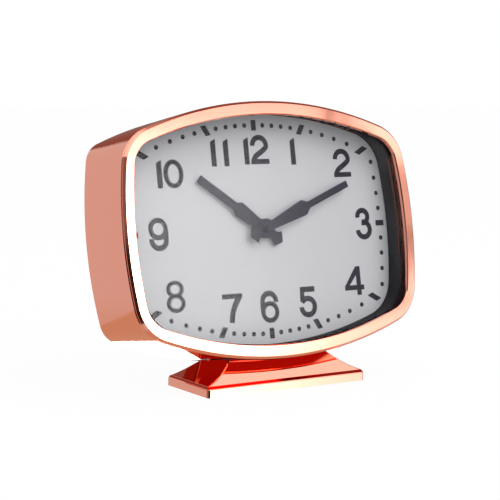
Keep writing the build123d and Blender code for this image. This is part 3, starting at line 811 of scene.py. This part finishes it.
class CLOCK_OT_back(bpy.types.Operator):
    """Finishes the back cover, its screws and the pad under the foot"""

    bl_idname = "clock.back"
    bl_label = "Back and base"

    def execute(self, context):
        # Spark-eroded ABS: matt black with a fine even grain
        eroded = grained(
            "black_grained_abs", linear("#1E1E20"),
            grain=0.9, rough=(0.5, 0.7), tone=0.12, relief=0.05,
        )
        dress(eroded, "rear_cover")
        # Zinc-plated steel: bright, slightly cloudy
        zinc = grained(
            "zinc_plated_steel", linear("#B9BAB9"),
            grain=1.2, rough=(0.25, 0.4), tone=0.05, relief=0.01, metallic=1.0,
        )
        dress(zinc, "rear_cover_screws", "foot_screws")
        # Foamed rubber: dull black with open pores
        rubber = grained(
            "foamed_rubber", linear("#242424"),
            grain=0.6, rough=(0.8, 0.95), tone=0.15, relief=0.08,
        )
        dress(rubber, "base_pad", "dial_washer")
        return {"FINISHED"}


class CLOCK_OT_movement(bpy.types.Operator):
    """Finishes the movement, its battery and the setting knob"""

    bl_idname = "clock.movement"
    bl_label = "Movement"

    def execute(self, context):
        # Moulded ABS of the movement's box: black with a fine satin grain
        box = grained(
            "movement_box_abs", linear("#26262A"),
            grain=0.7, rough=(0.45, 0.6), tone=0.1, relief=0.03,
        )
        dress(box, "movement_front_housing", "movement_rear_housing")
        # Natural acetal: milky white, waxy
        acetal = grained(
            "natural_acetal", linear("#E9E6DA"),
            grain=1.5, rough=(0.35, 0.5), tone=0.03, relief=0.01,
        )
        wheels = [
            "rotor",
            "intermediate_wheel",
            "seconds_wheel",
            "third_wheel",
            "minute_wheel",
            "motion_wheel",
            "hour_wheel",
        ]
        dress(acetal, *wheels)
        # Moulded polystyrene knob: pale, with a soft gloss
        styrene = grained(
            "pale_polystyrene", linear("#D9D8D4"),
            grain=1.0, rough=(0.35, 0.5), tone=0.04, relief=0.02,
        )
        dress(styrene, "set_knob")
        # Turned brass: yellow metal with a fine uneven shine
        brass = grained(
            "turned_brass", linear("#E2C078"),
            grain=0.4, rough=(0.2, 0.35), tone=0.06, relief=0.01, metallic=1.0,
        )
        dress(brass, "minute_arbor", "bush_nut")
        # Nickel-plated spring steel: bright and slightly warm
        nickel = grained(
            "nickel_plated_steel", linear("#CFCAC0"),
            grain=0.8, rough=(0.2, 0.3), tone=0.04, relief=0.01, metallic=1.0,
        )
        dress(nickel, "contact_positive", "contact_negative")
        # Steel jacket of a plain cell: dark grey under clear lacquer
        jacket = grained(
            "lacquered_cell_jacket", linear("#4B4D54"),
            grain=2.0, rough=(0.2, 0.3), tone=0.05, relief=0.01,
        )
        dress(jacket, "battery_cell")
        # Glass-fibre board under solder mask: green and slightly mottled
        board = grained(
            "solder_mask_board", linear("#2F6B45"),
            grain=0.5, rough=(0.3, 0.45), tone=0.1, relief=0.02,
        )
        dress(board, "circuit_board")
        # Drawn steel can: plain and bright
        can = grained(
            "drawn_steel_can", linear("#C4C5C8"),
            grain=0.6, rough=(0.25, 0.35), tone=0.04, relief=0.01, metallic=1.0,
        )
        dress(can, "quartz_crystal")
        # Natural nylon: cream, with a waxy sheen
        nylon = grained(
            "natural_nylon", linear("#E4DEC8"),
            grain=1.2, rough=(0.4, 0.55), tone=0.04, relief=0.02,
        )
        dress(nylon, "coil_bobbin")
        # Enamelled copper wire: its close turns are the grain, squeezed along the coil's axis
        wire = grained(
            "enamelled_copper_wire", linear("#C8743E"),
            grain=3.0, rough=(0.25, 0.4), tone=0.15, relief=0.05, metallic=1.0, stretch=(15, 1, 1),
        )
        dress(wire, "coil_winding")
        # Annealed soft iron sheet: grey with a dull bloom
        iron = grained(
            "annealed_soft_iron", linear("#8E9094"),
            grain=1.5, rough=(0.4, 0.55), tone=0.08, relief=0.01, metallic=1.0,
        )
        dress(iron, "stator")
        return {"FINISHED"}


# Light that the copper and the glass mirror, as cards all round the clock: bearing from and to, height from
# and to, and the widths of the soft edges across and up, all in degrees, then the level and the colour. The
# bearing counts from the dial's side round by the right. A later card hides an earlier one.
ROOM_LEVEL = 0.72
CARDS = [
    # Softbox in front: darker towards its right and its top, with a dark and a bright strip for the glass
    ((-80.0, 50.0), (-14.5, 40.0), (3.0, 3.0), 6.0, "#FFFFFF"),
    ((33.0, 66.0), (-30.0, 40.0), (12.0, 12.0), 2.0, "#FFFFFF"),
    ((-80.0, 66.0), (15.75, 40.0), (4.5, 4.5), 1.3, "#FFFFFF"),
    ((34.5, 60.0), (8.8, 14.9), (6.0, 0.8), 0.5, "#FFFFFF"),
    ((10.0, 35.7), (8.9, 14.9), (7.0, 2.0), 11.5, "#FFFFFF"),
    # Panel at the right end of that softbox, with its dim middle and a post above it
    ((39.95, 60.0), (8.8, 15.6), (0.6, 0.6), 2.1, "#FFFFFF"),
    ((40.1, 60.0), (9.7, 13.6), (0.4, 1.0), 0.85, "#FFFFFF"),
    ((40.1, 60.0), (10.6, 11.2), (0.4, 0.5), 0.55, "#FFFFFF"),
    ((38.3, 39.2), (15.0, 20.0), (0.6, 0.6), 0.7, "#FFFFFF"),
    # Ceiling, the dark wall behind and the dim left side
    ((-110.0, 290.0), (35.0, 100.0), (10.0, 10.0), 1.4, "#FFFFFF"),
    ((94.0, 181.0), (40.0, 80.0), (12.0, 30.0), 0.27, "#FFB0A0"),
    ((94.0, 180.0), (0.5, 58.0), (8.0, 1.5), 0.27, "#FFB0A0"),
    ((226.0, 262.0), (-24.0, 28.0), (6.0, 6.0), 0.35, "#FF5A46"),
    # Table, with its dark parts behind the foot and in front of it
    ((-110.0, 290.0), (-100.0, -45.0), (4.0, 4.0), 0.63, "#FFE5C5"),
    ((164.0, 228.0), (-50.0, -19.0), (2.0, 9.0), 0.63, "#FFE5C5"),
    ((165.0, 210.0), (-75.0, -48.0), (4.0, 4.0), 0.25, "#FF5A46"),
    ((176.0, 197.0), (-36.0, -4.0), (3.0, 3.0), 0.35, "#FF5A46"),
    ((15.0, 66.0), (-52.0, -21.0), (4.0, 4.0), 0.42, "#FF3A26"),
    # Low softbox behind under a dark strip, and the dark stand of the camera
    ((120.0, 164.0), (-38.0, -19.0), (2.0, 0.6), 4.0, "#FFFFFF"),
    ((125.0, 164.0), (-19.0, 0.5), (1.5, 0.6), 0.05, "#FFFFFF"),
    ((-85.0, -10.0), (-16.0, -5.0), (2.0, 2.0), 0.03, "#FFFFFF"),
    ((-78.0, -44.0), (-10.0, 36.0), (3.0, 4.0), 0.2, "#FFFFFF"),
    ((-78.0, -44.0), (-32.0, 8.0), (3.0, 6.0), 0.03, "#FFFFFF"),
]

# Table: how far it reaches in metres, the level at which the camera sees it white, and the share of that
# white over the clock's shadow
TABLE_REACH = 4.0
TABLE_WHITE = 1.02
TABLE_WHITE_SHARE = 0.93

# Key lamp: its diameter and its distance from the dial in metres, and where it stands in the dial's axes
LAMP_SIZE = 0.8
LAMP_DISTANCE = 1.0
LAMP_TOWARDS = (0.36, 0.60, 0.71)

# Width of the camera's sensor in millimetres
SENSOR_WIDTH = 36.0


def world_studio(studio):
    """White for the camera, a plain level for soft light, and cards that only mirrors see."""
    world = bpy.data.worlds.new("white_studio")
    bpy.context.scene.world = world
    world.use_nodes = True
    tree = world.node_tree
    tree.nodes.clear()
    place = add_node(tree, "ShaderNodeTexCoord")
    axes = add_node(tree, "ShaderNodeSeparateXYZ", {"Vector": place.outputs["Generated"]})
    ahead = add_node(tree, "ShaderNodeMath", {0: axes.outputs["Y"], 1: -1.0}, operation="MULTIPLY")
    azimuth = add_node(
        tree, "ShaderNodeMath", {0: axes.outputs["X"], 1: ahead.outputs[0]}, operation="ARCTAN2"
    )
    # The bearing runs from -90 to 270 degrees, so that it breaks at the clock's left
    bearing = add_node(
        tree, "ShaderNodeMath", {0: azimuth.outputs[0], 1: 1.5 * pi, 2: -0.5 * pi}, operation="WRAP"
    )
    height = add_node(tree, "ShaderNodeMath", {0: axes.outputs["Z"]}, operation="ARCSINE")
    sky = add_node(tree, "ShaderNodeCombineXYZ", {"X": bearing.outputs[0], "Y": height.outputs[0]})
    shown = [ROOM_LEVEL] * 3 + [1.0]
    for (left, right), (bottom, top), (edge_across, edge_up), level, colour in CARDS:
        share = box_share(
            tree,
            sky.outputs["Vector"],
            (radians(left), radians(bottom), -1),
            (radians(right), radians(top), 1),
            (radians(edge_across), radians(edge_up), 1),
        )
        card = add_node(
            tree,
            "ShaderNodeMix",
            {MIX_SHARE: share, MIX_FIRST: shown, MIX_SECOND: [level * c for c in linear(colour)]},
            data_type="RGBA",
        )
        shown = card.outputs[MIX_RESULT]
    path = add_node(tree, "ShaderNodeLightPath")
    soft_light = [studio.fill] * 3 + [1.0]
    lit = add_node(
        tree,
        "ShaderNodeMix",
        {MIX_SHARE: path.outputs["Is Glossy Ray"], MIX_FIRST: soft_light, MIX_SECOND: shown},
        data_type="RGBA",
    )
    seen = add_node(
        tree,
        "ShaderNodeMath",
        {0: path.outputs["Is Camera Ray"], 1: path.outputs["Is Transmission Ray"]},
        operation="MAXIMUM",
    )
    final = add_node(
        tree,
        "ShaderNodeMix",
        {MIX_SHARE: seen.outputs[0], MIX_FIRST: lit.outputs[MIX_RESULT], MIX_SECOND: linear("#FFFFFF")},
        data_type="RGBA",
    )
    light = add_node(tree, "ShaderNodeBackground", {"Color": final.outputs[MIX_RESULT], "Strength": 1.0})
    add_node(tree, "ShaderNodeOutputWorld", {"Surface": light.outputs["Background"]})


def floor_material():
    """White table: the camera sees it white, with only a hint of the clock's shadow."""
    material, tree = new_material("white_table")
    paint = add_node(tree, "ShaderNodeBsdfDiffuse", {"Color": linear("#F4F4F4")})
    glow = add_node(tree, "ShaderNodeEmission", {"Color": linear("#FFFFFF"), "Strength": TABLE_WHITE})
    path = add_node(tree, "ShaderNodeLightPath")
    share = add_node(
        tree,
        "ShaderNodeMath",
        {0: path.outputs["Is Camera Ray"], 1: TABLE_WHITE_SHARE},
        operation="MULTIPLY",
    )
    mix = add_node(
        tree,
        "ShaderNodeMixShader",
        {0: share.outputs[0], 1: paint.outputs["BSDF"], 2: glow.outputs["Emission"]},
    )
    add_node(tree, "ShaderNodeOutputMaterial", {"Surface": mix.outputs["Shader"]})
    return material


def add_table(scene):
    """White table under the clock, which the copper and the glass don't mirror."""
    corners = [(x * TABLE_REACH, y * TABLE_REACH, 0) for x, y in ((-1, -1), (1, -1), (1, 1), (-1, 1))]
    mesh = bpy.data.meshes.new("table")
    mesh.from_pydata(corners, [], [(0, 1, 2, 3)])
    mesh.materials.append(floor_material())
    table = bpy.data.objects.new("table", mesh)
    scene.collection.objects.link(table)
    table.visible_glossy = False


def add_key_lamp(scene, studio):
    """Broad round lamp at the upper right, which the copper and the glass don't mirror."""
    lamp = bpy.data.lights.new("key", "AREA")
    lamp.shape = "DISK"
    lamp.size = LAMP_SIZE
    lamp.energy = studio.key
    key = bpy.data.objects.new("key", lamp)
    towards = (dial_place.to_3x3() @ Vector(LAMP_TOWARDS)).normalized()
    key.location = dial_place.translation + towards * LAMP_DISTANCE
    key.rotation_euler = towards.to_track_quat("Z", "Y").to_euler()
    key.visible_glossy = False
    scene.collection.objects.link(key)


def add_camera(scene, studio):
    """Camera at the photograph's viewing angle."""
    away = Vector(
        (
            sin(studio.azimuth) * cos(studio.elevation),
            -cos(studio.azimuth) * cos(studio.elevation),
            sin(studio.elevation),
        )
    )
    right = Vector((0, 0, 1)).cross(away).normalized()
    up = away.cross(right)
    across = right * cos(studio.roll) + up * sin(studio.roll)
    above = up * cos(studio.roll) - right * sin(studio.roll)
    view = bpy.data.cameras.new("camera")
    view.sensor_width = SENSOR_WIDTH
    view.lens = studio.lens
    camera = bpy.data.objects.new("camera", view)
    place = Matrix((across, above, away)).transposed().to_4x4()
    place.translation = Vector(studio.aim) + away * studio.distance
    camera.matrix_world = place
    scene.collection.objects.link(camera)
    scene.camera = camera


class CLOCK_OT_stage(bpy.types.Operator):
    """Sets the table, the light and the camera"""

    bl_idname = "clock.stage"
    bl_label = "Stage"

    def execute(self, context):
        scene = context.scene
        studio = scene.clock.studio
        scene.view_settings.view_transform = "Standard"
        add_table(scene)
        world_studio(studio)
        add_key_lamp(scene, studio)
        add_camera(scene, studio)
        return {"FINISHED"}


OPERATORS = [
    CLOCK_OT_copper,
    CLOCK_OT_dial,
    CLOCK_OT_print,
    CLOCK_OT_hands,
    CLOCK_OT_glass,
    CLOCK_OT_back,
    CLOCK_OT_movement,
    CLOCK_OT_stage,
]


class CLOCK_PT_panel(bpy.types.Panel):
    """Lists the clock's settings and operators"""

    bl_idname = "CLOCK_PT_panel"
    bl_label = "Table clock"
    bl_space_type = "VIEW_3D"
    bl_region_type = "UI"
    bl_category = "Clock"

    def draw(self, context):
        settings = context.scene.clock
        for group in (settings.ink_print, settings.finish, settings.studio):
            box = self.layout.box()
            for name in group.bl_rna.properties.keys():
                if name not in ("rna_type", "name"):
                    box.prop(group, name)
        for operator in OPERATORS:
            self.layout.operator(operator.bl_idname)


CLASSES = [ClockPrint, ClockFinish, ClockStudio, ClockSettings, *OPERATORS, CLOCK_PT_panel]


def register():
    """Registers the classes and hangs the settings on the scene."""
    for entry in CLASSES:
        bpy.utils.register_class(entry)
    bpy.types.Scene.clock = PointerProperty(type=ClockSettings)


def unregister():
    """Takes the settings and the classes away again."""
    del bpy.types.Scene.clock
    for entry in reversed(CLASSES):
        bpy.utils.unregister_class(entry)


def main():
    """Builds the whole clock."""
    register()
    bpy.ops.clock.copper()
    bpy.ops.clock.dial()
    bpy.ops.clock.dial_print()
    bpy.ops.clock.hands()
    bpy.ops.clock.front_glass()
    bpy.ops.clock.back()
    bpy.ops.clock.movement()
    bpy.ops.clock.stage()


if __name__ == "__main__":
    main()
